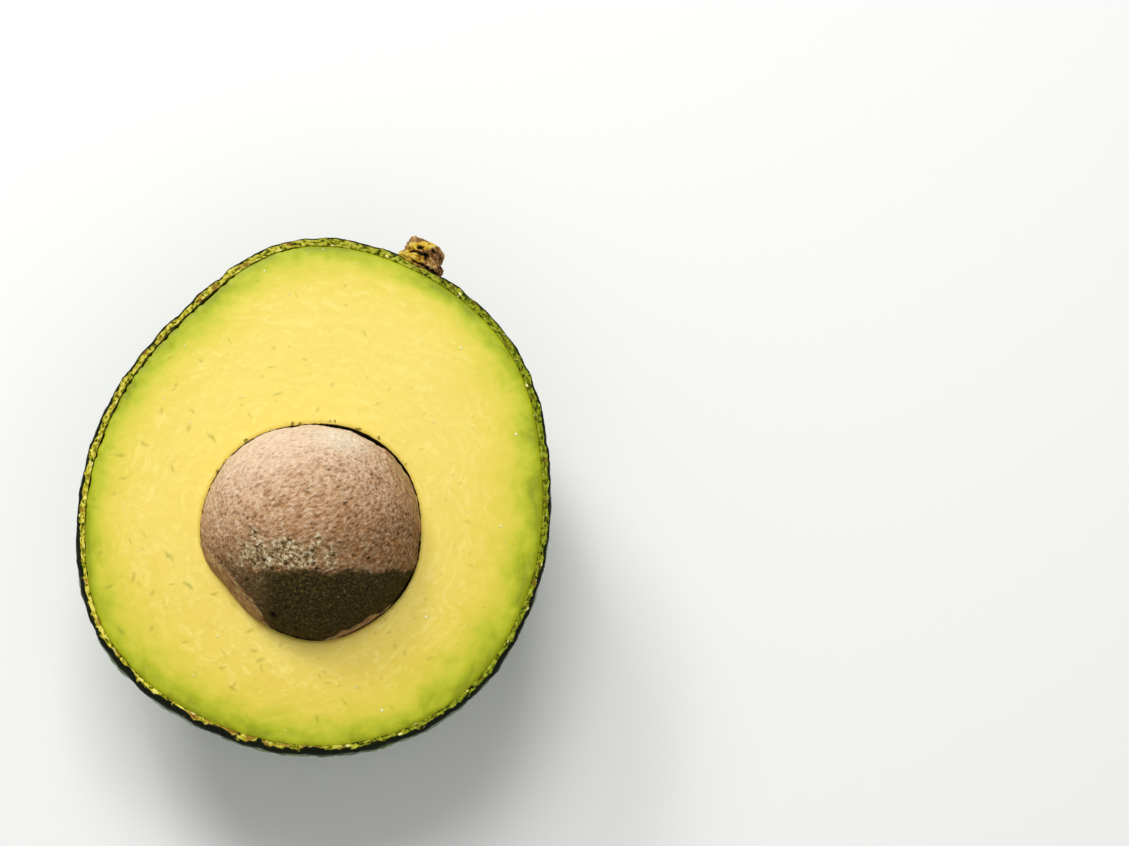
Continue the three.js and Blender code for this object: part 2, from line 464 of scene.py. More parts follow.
def coat_relief(out):
    broad = 0.24 * noise.noise(out * 5.0)
    folds = 0.12 * noise.noise(Vector((out.x * 9, out.y * 9, out.z * 20)))
    grain = 0.14 * noise.noise(out * 16.0) + 0.09 * noise.noise(out * 30.0)
    pit = 0.55 * (1 - smooth_step((out - PIT_IN_COAT).length * STONE_RISE, 0.2, 0.9))
    return broad + folds + grain - pit


def flap_share(out):
    """How far a direction is inside a flap of loose coat, and the height of the flap there."""
    turn = (math.atan2(out.x, out.y) / math.tau) % 1.0
    rise = math.asin(max(-1.0, min(1.0, out.z))) + 0.08 * noise.noise(out * 7.0)
    for first, last, reach, height in COAT_FLAPS:
        middle, half = (first + last) / 2, (last - first) / 2
        taper = 1 - (abs(turn - middle) / half) ** 2
        if taper > 0 and rise < reach * taper**0.5:
            return smooth_step(reach * taper**0.5 - rise, 0.0, 0.05), height
    return 0.0, 0.0


def painted_shade_and_crumbs(point):
    """How far a point lies in the coat's painted shade, and how crumbly it is."""
    away = point - STONE_CENTRE
    across = away.dot(photo_right)
    below = -away.dot(photo_up) - SHADE_TILT * (point.z - CUT_Z)
    edge = SHADE_EDGE - SHADE_BEND * max(0.0, SHADE_BEND_FROM - across) ** 2
    ragged = 0.9 * noise.noise(point / 3.0) + 0.6 * noise.noise(point / 0.9)
    blur = 0.4 + 0.25 * max(0.0, SHADE_BEND_FROM - across)
    painted_shade = smooth_step(below + ragged, edge - blur, edge + blur)
    painted_shade *= 1 - 0.35 * smooth_step(SHADE_BEND_FROM - across, 0.0, 6.0)
    spot = Vector((across, below)) - CRUMBLY_MIDDLE
    nearness = 1 - math.hypot(spot.x / CRUMBLY_REACH.x, spot.y / CRUMBLY_REACH.y)
    return painted_shade, smooth_step(nearness + 0.8 * noise.noise(point / 1.7), 0.1, 0.7) * (1 - painted_shade)


stone_mesh = bmesh.new()
bmesh.ops.create_icosphere(stone_mesh, subdivisions=STONE_DETAIL, radius=1.0)
kept_on_stone = ("painted_shade", "crumbs_and_glints", "loose")
for name in kept_on_stone:
    stone_mesh.verts.layers.float.new(name)
stone_layers = [stone_mesh.verts.layers.float[name] for name in kept_on_stone]
for vert in stone_mesh.verts:
    out = vert.co.normalized()
    loose, height = flap_share(out)
    vert.co = stone_point(out) + out * (coat_relief(out) + loose * height)
    painted_shade, crumbs_and_glints = painted_shade_and_crumbs(vert.co)
    vert.co += out * CRUMB_HEIGHT * crumbs_and_glints * noise.noise(vert.co / 0.8)
    for layer, value in zip(stone_layers, (painted_shade, crumbs_and_glints, loose)):
        vert[layer] = value
stone = finish_piece("seed", stone_mesh, "stone")

# %% [markdown]
# ## The stem button
# What is left of the stalk is a knob of cork: a collar that sits on the skin, a crack round it and
# a broken, lumpy end that leans aside. The collar and knob are one turned outline, pushed about by
# noise. Its root stops just under the skin, because the rest would be hidden. The bark has broken
# off along two lines, where the cork is golden, and deep cracks run beside them. Each point keeps
# how golden it is.

# %% Stem button
STEM_SEGMENTS = 120
STEM_OUTLINE = [
    (0, -0.9), (3.0, -0.8), (3.7, 0.1), (4.05, 0.8), (3.95, 1.5), (3.55, 1.95), (3.3, 2.15),
    (3.5, 2.6), (3.45, 3.5), (3.1, 4.2), (2.4, 4.7), (1.5, 4.85), (0.9, 4.5), (0, 4.3),
]
STEM_LEAN = 0.12
STEM_LUMP = 0.054  # share of the radius
STEM_STEPS = 9
# Lines on the upper side, from the foot of the button: two golden breaks, and the cracks by them.
# Each has its two ends, across and along the button, and its half width.
GOLDEN_BREAKS = [((-3.7, 0.4), (-0.6, 1.2), 1.1), ((-2.7, 2.3), (0.5, 4.3), 0.75)]
CRACKS = [
    ((-2.3, 1.8), (0.3, 2.3), 0.28), ((-1.4, 0.1), (2.7, 0.0), 0.35), ((-1.5, 2.9), (-1.3, 3.0), 0.35),
    ((1.0, 3.5), (1.3, 3.4), 0.3),
]


def line_share(spot, lines):
    """How near a point is to one of the lines, seen from above: 1 on it, 0 past its half width."""
    near = 0.0
    for (x0, y0), (x1, y1), half_width in lines:
        start, step = Vector((x0, y0)), Vector((x1 - x0, y1 - y0))
        away = spot.xy - start
        part = min(1.0, max(0.0, away.dot(step) / step.length_squared))
        ragged = 0.3 * noise.noise(spot / 0.7)
        distance = (away - step * part).length + ragged
        near = max(near, 1 - smooth_step(distance, half_width * 0.6, half_width * 1.3))
    return near * smooth_step(spot.z, -1.0, 0.2)


def stem_station(leg, share):
    (r0, h0), (r1, h1) = STEM_OUTLINE[leg], STEM_OUTLINE[leg + 1]
    radius, height = r0 + (r1 - r0) * share, h0 + (h1 - h0) * share

    def place(turn):
        angle = turn * math.tau
        lump = math.sin(3 * angle + 0.7 * height) + 0.6 * math.sin(5 * angle - 1.1 * height)
        swell = 1 + STEM_LUMP * lump * smooth_step(height, 0.1, 0.5)
        spot = Vector((math.cos(angle) * radius * swell, height, math.sin(angle) * radius * swell))
        crumbs = 0.35 * noise.noise(spot / 1.6) + 0.2 * noise.noise(spot / 0.6 + Vector((5, 0, 0)))
        crumbs += 0.12 * noise.noise(spot / 0.28)
        spot.x -= STEM_LEAN * max(0.0, height)
        golden = line_share(spot, GOLDEN_BREAKS)
        crack = 0.3 * smooth_step(noise.noise(spot / 1.2 + Vector((0, 9, 0))), 0.1, 0.35)
        crack += 0.7 * line_share(spot, CRACKS)
        rough = (crumbs * (1 - 0.5 * golden) - crack) * smooth_step(height, -0.2, 0.3)
        out = Vector((spot.x, 0.6 * (height - 1.5), spot.z)).normalized()
        return STEM_FOOT + spot + out * rough, rough, golden

    return place


legs = range(len(STEM_OUTLINE) - 1)
stem_stations = [stem_station(leg, step / STEM_STEPS) for leg in legs for step in range(STEM_STEPS)]
stem_stations.append(stem_station(legs[-1], 1.0))
stem_mesh = loft(STEM_SEGMENTS, ("rough", "golden"), stem_stations)
stem = finish_piece("stalk_knob", stem_mesh, "stem_button")

# %% [markdown]
# ## Materials
# Colours are sRGB hex values, turned to linear by one function. One small function adds a node with
# its settings and links. Patterns read Object coordinates in millimetres, or a value that the
# shape's own functions kept on the mesh.

# %% Colour and node helpers
# Places of a colour Mix node's two colours and of its result among its sockets.
MIX_A, MIX_B, MIXED = 6, 7, 2
BLOSSOM_SIDE = Vector((0.41, -0.91, 0.0))


def colour(hex_value):
    channels = [int(hex_value[i : i + 2], 16) / 255 for i in (1, 3, 5)]
    return (*[c / 12.92 if c <= 0.04045 else ((c + 0.055) / 1.055) ** 2.4 for c in channels], 1.0)


def add(tree, kind, inputs=None, stops=(), **settings):
    """Adds a node, sets what it is told, fills or links its inputs and gives a ramp its stops."""
    node = tree.nodes.new(kind)
    for name, value in settings.items():
        setattr(node, name, value)
    for name, value in (inputs or {}).items():
        if isinstance(value, bpy.types.NodeSocket):
            tree.links.new(value, node.inputs[name])
        else:
            node.inputs[name].default_value = value
    for index, (place, shade) in enumerate(stops):
        elements = node.color_ramp.elements
        element = elements[index] if index < 2 else elements.new(place)
        element.position, element.color = place, colour(shade)
    return node


def new_material(name):
    """An empty material: its tree, its shader and the Object coordinates in millimetres."""
    material = bpy.data.materials.new(name)
    material.use_nodes = True
    tree = material.node_tree
    tree.nodes.clear()
    shader = add(tree, "ShaderNodeBsdfPrincipled")
    add(tree, "ShaderNodeOutputMaterial", {"Surface": shader.outputs["BSDF"]})
    place = add(tree, "ShaderNodeTexCoord").outputs["Object"]
    in_mm = add(tree, "ShaderNodeMapping", {"Vector": place, "Scale": (1 / MM, 1 / MM, 1 / MM)})
    return material, tree, shader, in_mm.outputs["Vector"]


def past_middle(tree, at, side):
    """How far a point lies past the middle of the face, towards a side."""
    away = add(tree, "ShaderNodeVectorMath", {0: at, 1: FACE_MIDDLE}, operation="SUBTRACT")
    return add(
        tree, "ShaderNodeVectorMath", {0: away.outputs[0], 1: side}, operation="DOT_PRODUCT"
    ).outputs["Value"]


def round_a_middle(tree, at, middle, reach, along, across):
    """A vector whose cells run round a middle: along mm long at that reach, and across mm wide."""
    away = add(tree, "ShaderNodeVectorMath", {0: at, 1: middle}, operation="SUBTRACT")
    flat = add(tree, "ShaderNodeVectorMath", {0: away.outputs[0], 1: (1, 1, 0)}, operation="MULTIPLY")
    radius = add(tree, "ShaderNodeVectorMath", {0: flat.outputs[0]}, operation="LENGTH")
    out = add(tree, "ShaderNodeVectorMath", {0: flat.outputs[0]}, operation="NORMALIZE")
    cells = add(tree, "ShaderNodeMath", {0: radius.outputs["Value"], 1: 1 / across}, operation="MULTIPLY")
    lifted = add(tree, "ShaderNodeCombineXYZ", {"Z": cells.outputs[0]})
    turns = (reach / along,) * 3
    return add(
        tree, "ShaderNodeVectorMath", {0: out.outputs[0], 1: turns, 2: lifted.outputs[0]},
        operation="MULTIPLY_ADD",
    ).outputs[0]


def cell_marks(tree, at, scale, picked_from, biggest, blur, most=1.0, channel=0, dimensions="3D"):
    """Round marks in a Voronoi pattern: a random number of each cell picks them and their size."""
    cell = add(
        tree, "ShaderNodeTexVoronoi", {"Vector": at, "Scale": scale}, voronoi_dimensions=dimensions
    )
    pick = add(tree, "ShaderNodeSeparateColor", {"Color": cell.outputs["Color"]})
    size = add(
        tree, "ShaderNodeMapRange",
        {"Value": pick.outputs[channel], "From Min": picked_from, "To Max": biggest},
    )
    inside = add(
        tree, "ShaderNodeMath", {0: size.outputs[0], 1: cell.outputs["Distance"]}, operation="SUBTRACT"
    )
    return add(
        tree, "ShaderNodeMapRange", {"Value": inside.outputs[0], "From Max": blur, "To Max": most}
    ).outputs[0]


# %% [markdown]
# ### Rind: a waxy living skin
# Green rind with a thin natural wax, so it has a soft broad shine. It is mid green with darker
# blotches 9 mm wide and finer flecks, and near-black pits. Along the cut, a ragged black band about
# 2 mm wide is painted on the skin as shade, and there the skin is rough, without its shine.

# %% Waxy rind
material, tree, shader, at = new_material("waxy_rind")
blotch = add(tree, "ShaderNodeTexNoise", {"Vector": at, "Scale": 1 / 9, "Detail": 4.0, "Roughness": 0.6})
fleck = add(tree, "ShaderNodeTexNoise", {"Vector": at, "Scale": 1 / 1.1, "Detail": 3.0, "Roughness": 0.55})
broad = add(tree, "ShaderNodeMath", {0: blotch.outputs["Fac"], 1: 0.62}, operation="MULTIPLY")
tone = add(
    tree, "ShaderNodeMath", {0: fleck.outputs["Fac"], 1: 0.38, 2: broad.outputs[0]}, operation="MULTIPLY_ADD"
)
green = add(
    tree, "ShaderNodeValToRGB", {"Fac": tone.outputs[0]},
    stops=[(0.3, "#1c2d03"), (0.75, "#86a01c"), (0.43, "#304a03"), (0.52, "#456704"), (0.62, "#60820a")],
)
pit_mm = add(tree, "ShaderNodeAttribute", attribute_name="pit_mm")
pit = add(
    tree, "ShaderNodeMapRange",
    {"Value": pit_mm.outputs["Fac"], "From Min": 0.55, "From Max": 0.28, "To Max": 0.92},
)
pitted = add(
    tree, "ShaderNodeMix", {"Factor": pit.outputs[0], MIX_A: green.outputs[0], MIX_B: colour("#15170a")},
    data_type="RGBA",
)
from_stem = add(tree, "ShaderNodeVectorMath", {0: at, 1: STEM_FOOT}, operation="DISTANCE")
scar = add(
    tree, "ShaderNodeMapRange",
    {"Value": from_stem.outputs["Value"], "From Min": 5.6, "From Max": 4.3, "To Max": 0.85},
)
scarred = add(
    tree, "ShaderNodeMix",
    {"Factor": scar.outputs[0], MIX_A: pitted.outputs[MIXED], MIX_B: colour("#3a2712")}, data_type="RGBA",
)
# Painted shade: a ragged near-black band on the skin just under the cut.
under_cut = add(tree, "ShaderNodeAttribute", attribute_name="under_cut_mm")
ragged = add(
    tree, "ShaderNodeMath", {0: tone.outputs[0], 1: -3.4, 2: under_cut.outputs["Fac"]},
    operation="MULTIPLY_ADD",
)
painted_shade_band = add(
    tree, "ShaderNodeMapRange",
    {"Value": ragged.outputs[0], "From Min": 0.9, "From Max": -0.7, "To Max": 0.96},
)
shade_banded = add(
    tree, "ShaderNodeMix",
    {"Factor": painted_shade_band.outputs[0], MIX_A: scarred.outputs[MIXED], MIX_B: colour("#0b0d05")},
    data_type="RGBA",
)

# %% [markdown]
# Behind the edge the section of the rind shows. It is a granular layer of yellow-olive stone cells,
# drawn out a little along the rim, with pale crumbs and dark specks. Brown-black threads run where
# the groove beside the flesh gapes, and nowhere else.

# %% Section of the rind
KNOCKED_RIM = fruit_point(0.468, drop_at(CUT_Z, 0), 0.6)
along_rim = round_a_middle(tree, at, FACE_MIDDLE, 42, 0.9, 0.5)
grain = add(tree, "ShaderNodeTexNoise", {"Vector": along_rim, "Scale": 1.0, "Detail": 3.0, "Roughness": 0.75})
section = add(
    tree, "ShaderNodeValToRGB", {"Fac": grain.outputs["Fac"]},
    stops=[(0.35, "#171804"), (0.64, "#faee7c"), (0.42, "#6b730a"), (0.475, "#b0a91b"), (0.54, "#e0d446")],
)
stretch = add(tree, "ShaderNodeTexNoise", {"Vector": at, "Scale": 1 / 2.2, "Detail": 2.0})
from_knock = add(tree, "ShaderNodeVectorMath", {0: at, 1: KNOCKED_RIM}, operation="DISTANCE")
knocked = add(
    tree, "ShaderNodeMapRange",
    {"Value": from_knock.outputs["Value"], "From Min": 14.0, "From Max": 5.0, "To Max": 0.16},
)
bruise = add(
    tree, "ShaderNodeMath", {0: stretch.outputs["Fac"], 1: knocked.outputs[0]}, operation="ADD"
)
bruised = add(
    tree, "ShaderNodeMapRange",
    {"Value": bruise.outputs[0], "From Min": 0.56, "From Max": 0.66, "To Max": 0.75},
)
browned = add(
    tree, "ShaderNodeMix",
    {"Factor": bruised.outputs[0], MIX_A: section.outputs[0], MIX_B: colour("#996a26")}, data_type="RGBA",
)
rightwards = add(tree, "ShaderNodeVectorMath", {0: at, 1: photo_right}, operation="DOT_PRODUCT")
fresh = add(
    tree, "ShaderNodeMapRange",
    {"Value": rightwards.outputs["Value"], "From Min": -18.0, "From Max": 24.0, "To Max": 0.85},
)
freshened = add(
    tree, "ShaderNodeMix",
    {"Factor": fresh.outputs[0], MIX_A: browned.outputs[MIXED], MIX_B: colour("#9ab545")},
    data_type="RGBA", blend_type="MULTIPLY",
)
crumb = cell_marks(tree, along_rim, scale=0.9, picked_from=0.7, biggest=0.44, blur=0.1)
crumbed = add(
    tree, "ShaderNodeMix",
    {"Factor": crumb, MIX_A: freshened.outputs[MIXED], MIX_B: colour("#f8f0a0")}, data_type="RGBA",
)
inset = add(tree, "ShaderNodeAttribute", attribute_name="inset_mm")
wander = add(tree, "ShaderNodeTexNoise", {"Vector": at, "Scale": 1 / 1.3, "Detail": 3.0})
wandered = add(
    tree, "ShaderNodeMath", {0: wander.outputs["Fac"], 1: 0.7, 2: inset.outputs["Fac"]},
    operation="MULTIPLY_ADD",
)
in_section = add(
    tree, "ShaderNodeMapRange", {"Value": wandered.outputs[0], "From Min": 0.53, "From Max": 0.62}
)
layered = add(
    tree, "ShaderNodeMix",
    {"Factor": in_section.outputs[0], MIX_A: shade_banded.outputs[MIXED], MIX_B: crumbed.outputs[MIXED]},
    data_type="RGBA",
)
groove = add(tree, "ShaderNodeAttribute", attribute_name="groove_mm")
threads = add(
    tree, "ShaderNodeMath", {0: groove.outputs["Fac"], 1: 1.6, 2: wandered.outputs[0]},
    operation="MULTIPLY_ADD",
)
in_threads = add(
    tree, "ShaderNodeMapRange",
    {"Value": threads.outputs[0], "From Min": 1.82, "From Max": 1.92, "To Max": 0.92},
)
lined = add(
    tree, "ShaderNodeMix",
    {"Factor": in_threads.outputs[0], MIX_A: layered.outputs[MIXED], MIX_B: colour("#1c1908")},
    data_type="RGBA",
)
tree.links.new(lined.outputs[MIXED], shader.inputs["Base Color"])
not_waxy = add(
    tree, "ShaderNodeMath", {0: painted_shade_band.outputs[0], 1: in_section.outputs[0]}, operation="MAXIMUM"
)
gloss = add(
    tree, "ShaderNodeMapRange", {"Value": not_waxy.outputs[0], "To Min": 0.27, "To Max": 0.95}
)
tree.links.new(gloss.outputs[0], shader.inputs["Roughness"])
shader.inputs["IOR"].default_value = 1.45
shader.inputs["Specular IOR Level"].default_value = 0.22
bump = add(
    tree, "ShaderNodeBump", {"Height": fleck.outputs["Fac"], "Strength": 0.25, "Distance": 0.35 * MM}
)
gritty = add(
    tree, "ShaderNodeBump",
    {"Height": grain.outputs["Fac"], "Strength": in_section.outputs[0], "Distance": 0.35 * MM,
     "Normal": bump.outputs[0]},
)
tree.links.new(gritty.outputs["Normal"], shader.inputs["Normal"])
peel.data.materials.append(material)

# %% [markdown]
# ### Flesh: moist and buttery
# Ripe flesh is oily and lets a little light in, so it gets weak subsurface scattering and a soft
# shine. Its colour follows the depth under the peel: green, lime, then butter yellow, deeper
# towards the blossom end. The knife leaves faint smears round the stone, which wander.

# %% Buttery flesh
material, tree, shader, at = new_material("ripe_flesh")
ripeness = add(tree, "ShaderNodeAttribute", attribute_name="ripeness")
arcs = round_a_middle(tree, at, STONE_CENTRE, 28, 9.0, 2.6)
wobble = add(tree, "ShaderNodeTexNoise", {"Vector": at, "Scale": 1 / 9, "Detail": 2.0})
smears = add(
    tree, "ShaderNodeVectorMath", {0: wobble.outputs["Color"], 1: (3.5, 3.5, 3.5), 2: arcs},
    operation="MULTIPLY_ADD",
).outputs[0]
drift = add(tree, "ShaderNodeTexNoise", {"Vector": smears, "Scale": 1.0, "Detail": 3.0, "Roughness": 0.5})
patches = add(tree, "ShaderNodeTexNoise", {"Vector": at, "Scale": 1 / 5, "Detail": 3.0, "Roughness": 0.6})
mixed_drift = add(
    tree, "ShaderNodeMath", {0: drift.outputs["Fac"], 1: patches.outputs["Fac"]}, operation="ADD"
)
stage = add(
    tree, "ShaderNodeMath", {0: mixed_drift.outputs[0], 1: 1.2, 2: ripeness.outputs["Fac"]},
    operation="MULTIPLY_ADD",
)
stage_share = add(
    tree, "ShaderNodeMapRange", {"Value": stage.outputs[0], "From Min": 1.2, "From Max": 5.2}
)
body = add(
    tree, "ShaderNodeValToRGB", {"Fac": stage_share.outputs[0]},
    stops=[
        (0.0, "#949f07"), (1.0, "#f3dd6c"), (0.05, "#a9b40f"), (0.11, "#bac11f"), (0.175, "#c9cb31"),
        (0.25, "#d9d141"), (0.325, "#e2d44c"), (0.45, "#ebd857"), (0.62, "#f0da62"),
    ],
)
riper = add(
    tree, "ShaderNodeMapRange",
    {"Value": past_middle(tree, at, BLOSSOM_SIDE), "From Min": -22.0, "From Max": 34.0},
)
cloud = add(tree, "ShaderNodeTexNoise", {"Vector": at, "Scale": 1 / 7, "Detail": 4.0, "Roughness": 0.6})
deeper = add(tree, "ShaderNodeMath", {0: riper.outputs[0], 1: cloud.outputs["Fac"]}, operation="MULTIPLY")
deepened = add(
    tree, "ShaderNodeMix",
    {"Factor": deeper.outputs[0], MIX_A: body.outputs[0], MIX_B: (0.93, 0.86, 0.6, 1.0)},
    data_type="RGBA", blend_type="MULTIPLY",
)
streak = add(tree, "ShaderNodeTexNoise", {"Vector": smears, "Scale": 2.2, "Detail": 5.0, "Roughness": 0.65})
in_the_yellow = add(
    tree, "ShaderNodeMapRange",
    {"Value": ripeness.outputs["Fac"], "From Min": 1.0, "From Max": 2.5, "To Max": 0.7},
)
streak_share = add(
    tree, "ShaderNodeMapRange",
    {"Value": streak.outputs["Fac"], "From Min": 0.5, "From Max": 0.7, "To Max": in_the_yellow.outputs[0]},
)
streaked = add(
    tree, "ShaderNodeMix",
    {"Factor": streak_share.outputs[0], MIX_A: deepened.outputs[MIXED], MIX_B: colour("#fbe984")},
    data_type="RGBA",
)

# %% [markdown]
# Cut strands show as short olive nicks, 1 to 3 mm long, which slant three ways and lie closest at
# one side of the stone. Small burrs are raised by a bump and painted pale as glints. All are cells of
# a Voronoi pattern: a random number of the cell picks which have a mark, and how big it is. Noise
# bends the cells, so that the nicks curve. Darker nicks of about 0.5 mm sit along the hollow's rim,
# on the side of the stem end.

# %% Nicks and burrs
strands = STONE_CENTRE - 18 * photo_right - 6 * photo_up
from_strands = add(tree, "ShaderNodeVectorMath", {0: at, 1: strands}, operation="DISTANCE")
nick_limit = add(
    tree, "ShaderNodeMapRange",
    {"Value": from_strands.outputs["Value"], "From Min": 60.0, "From Max": 12.0, "To Min": 0.1,
     "To Max": 0.23},
)
bent = add(
    tree, "ShaderNodeVectorMath", {0: patches.outputs["Color"], 1: (3.0, 3.0, 3.0), 2: at},
    operation="MULTIPLY_ADD",
)
# Each set of strands has its slant in degrees, the length and width of its cells in mm, and its colour.
STRANDS = [(35, 5.5, 2.4, "#96951f"), (80, 5.0, 2.8, "#b0972c"), (150, 6.0, 2.2, "#8b9420")]
nicked = streaked.outputs[MIXED]
for slant, length, width, shade in STRANDS:
    laid = add(
        tree, "ShaderNodeMapping",
        {"Vector": bent.outputs[0], "Rotation": (0, 0, math.radians(slant)), "Scale": (length, width, 1)},
        vector_type="TEXTURE",
    )
    nick = cell_marks(
        tree, laid.outputs[0], scale=1.0, picked_from=0.64, biggest=nick_limit.outputs[0], blur=0.2,
        most=0.6, dimensions="2D",
    )
    nicked = add(
        tree, "ShaderNodeMix", {"Factor": nick, MIX_A: nicked, MIX_B: colour(shade)}, data_type="RGBA"
    ).outputs[MIXED]
# Painted glints: pale specks on small burrs, which the bump below also raises.
burr_glint = cell_marks(tree, at, scale=1 / 1.9, picked_from=0.8, biggest=0.17, blur=0.05, most=0.85, channel=1)
glinted = add(
    tree, "ShaderNodeMix", {"Factor": burr_glint, MIX_A: nicked, MIX_B: colour("#fff7bc")}, data_type="RGBA"
)
stone_mm = add(tree, "ShaderNodeAttribute", attribute_name="stone_mm")
stem_side = add(
    tree, "ShaderNodeMapRange",
    {"Value": past_middle(tree, at, BLOSSOM_SIDE), "From Min": 6.0, "From Max": -2.0},
)
rim_nick = add(tree, "ShaderNodeTexVoronoi", {"Vector": bent.outputs[0], "Scale": 1 / 1.5})
rim_nick_size = add(
    tree, "ShaderNodeMapRange",
    {"Value": stone_mm.outputs["Fac"], "From Min": 1.6, "From Max": 0.3, "To Max": stem_side.outputs[0]},
)
rim_nick_near = add(
    tree, "ShaderNodeMath", {0: rim_nick_size.outputs[0], 1: 0.34}, operation="MULTIPLY"
)
rim_nick_gap = add(
    tree, "ShaderNodeMath", {0: rim_nick_near.outputs[0], 1: rim_nick.outputs["Distance"]},
    operation="SUBTRACT",
)
rim_nick_share = add(
    tree, "ShaderNodeMapRange", {"Value": rim_nick_gap.outputs[0], "From Max": 0.1, "To Max": 0.85}
)
rim_nicked = add(
    tree, "ShaderNodeMix",
    {"Factor": rim_nick_share.outputs[0], MIX_A: glinted.outputs[MIXED], MIX_B: colour("#7d7418")},
    data_type="RGBA",
)
# The hollow's wall and the narrow gap beside the stone are painted dark brown: partly a stain from the seed
# coat, partly painted shade in the gap.
stain_and_gap_shade = add(
    tree, "ShaderNodeMapRange",
    {"Value": stone_mm.outputs["Fac"], "From Min": 0.12, "From Max": 0.0, "To Max": 0.96},
)
walled = add(
    tree, "ShaderNodeMix",
    {"Factor": stain_and_gap_shade.outputs[0], MIX_A: rim_nicked.outputs[MIXED], MIX_B: colour("#3a280c")},
    data_type="RGBA",
)
tree.links.new(walled.outputs[MIXED], shader.inputs["Base Color"])
shader.inputs["Roughness"].default_value = 0.42
shader.inputs["IOR"].default_value = 1.42
shader.inputs["Specular IOR Level"].default_value = 0.3
shader.inputs["Subsurface Weight"].default_value = 0.1
shader.inputs["Subsurface Radius"].default_value = (1.0, 0.75, 0.25)
shader.inputs["Subsurface Scale"].default_value = 1.2 * MM
bump = add(
    tree, "ShaderNodeBump", {"Height": patches.outputs["Fac"], "Strength": 0.3, "Distance": 0.5 * MM}
)
raised = add(
    tree, "ShaderNodeBump",
    {"Height": burr_glint, "Strength": 0.6, "Distance": 0.3 * MM, "Normal": bump.outputs[0]},
)
tree.links.new(raised.outputs["Normal"], shader.inputs["Normal"])
flesh.data.materials.append(material)

# %% [markdown]
# ### Seed coat: dry and papery
# The coat is a dusty, pinkish tan with hardly any shine. Painted shading makes it palest on the side
# of the stem end and darker tan away from it, and a painted highlight makes it nearly white at one
# spot. It has patches of brown 3 mm wide, more of them towards the shaded side, a few dark pinholes,
# and flecks about 1 mm long and half as wide, which all lie one way and which a deep bump raises, as
# on coarse paper. The flecks' hollows are painted darker as shade and their crests lighter as
# highlights. The lower side is painted dark brown as shade, with finer specks and one deep pinhole.
# Crumbs of 0.7 mm stand on it along the edge of that shade, painted pale as glints with dark shade
# between them. The loose flaps are streaked with brown, cream and a little yellow flesh.

# %% Seed coat
material, tree, shader, at = new_material("dry_seed_coat")
SHADED_SIDE = BLOSSOM_SIDE + 0.25 * photo_right
HIGHLIGHT_SPOT = stone_point(heading(0.98, 0.45))
# Painted shading: the coat runs from pale on the stem end's side to darker tan on the shaded side, and its
# brown patches grow towards the shaded side.
to_shaded_side = add(
    tree, "ShaderNodeMapRange",
    {"Value": past_middle(tree, at, SHADED_SIDE), "From Min": -12.0, "From Max": 12.0},
)
dust_and_shading = add(
    tree, "ShaderNodeValToRGB", {"Fac": to_shaded_side.outputs[0]},
    stops=[
        (0.04, "#fbe0c4"), (0.96, "#9c7650"), (0.2, "#f4d3b2"), (0.4, "#e5bf9a"), (0.6, "#d3a981"),
        (0.8, "#bf936a"),
    ],
)
mottle = add(tree, "ShaderNodeTexNoise", {"Vector": at, "Scale": 1 / 2.6, "Detail": 5.0, "Roughness": 0.65})
brown_and_shade = add(
    tree, "ShaderNodeMapRange",
    {"Value": mottle.outputs["Fac"], "From Min": 0.5, "From Max": 0.66, "To Max": to_shaded_side.outputs[0]},
)
patched = add(
    tree, "ShaderNodeMix",
    {"Factor": brown_and_shade.outputs[0], MIX_A: dust_and_shading.outputs[0], MIX_B: colour("#a06c38")}, data_type="RGBA",
)
laid = add(
    tree, "ShaderNodeMapping",
    {"Vector": at, "Rotation": (0, 0, math.radians(49)), "Scale": (0.9, 0.55, 0.55)}, vector_type="TEXTURE",
)
fleck = add(
    tree, "ShaderNodeTexNoise", {"Vector": laid.outputs[0], "Scale": 1.0, "Detail": 3.0, "Roughness": 0.6}
)
# Painted shade and highlight on the flecks: their hollows are painted darker, most towards the shaded side,
# and their crests lighter, most on the stem end's side.
hollow_shade_strength = add(tree, "ShaderNodeMapRange", {"Value": to_shaded_side.outputs[0], "To Min": 0.2})
hollow = add(
    tree, "ShaderNodeMapRange",
    {"Value": fleck.outputs["Fac"], "From Min": 0.47, "From Max": 0.35, "To Max": hollow_shade_strength.outputs[0]},
)
hollow_shaded = add(
    tree, "ShaderNodeMix",
    {"Factor": hollow.outputs[0], MIX_A: patched.outputs[MIXED], MIX_B: colour("#6f4c2c")}, data_type="RGBA",
)
highlight_strength = add(tree, "ShaderNodeMapRange", {"Value": to_shaded_side.outputs[0], "To Min": 0.65, "To Max": 0.3})
crest_highlight = add(
    tree, "ShaderNodeMapRange",
    {"Value": fleck.outputs["Fac"], "From Min": 0.54, "From Max": 0.64, "To Max": highlight_strength.outputs[0]},
)
crest_highlighted = add(
    tree, "ShaderNodeMix",
    {"Factor": crest_highlight.outputs[0], MIX_A: hollow_shaded.outputs[MIXED], MIX_B: colour("#ffecd2")}, data_type="RGBA",
)
hole = cell_marks(
    tree, laid.outputs[0], scale=0.42, picked_from=0.6, biggest=0.36, blur=0.1, most=to_shaded_side.outputs[0]
)
holed = add(
    tree, "ShaderNodeMix",
    {"Factor": hole, MIX_A: crest_highlighted.outputs[MIXED], MIX_B: colour("#2e1c0a")}, data_type="RGBA",
)
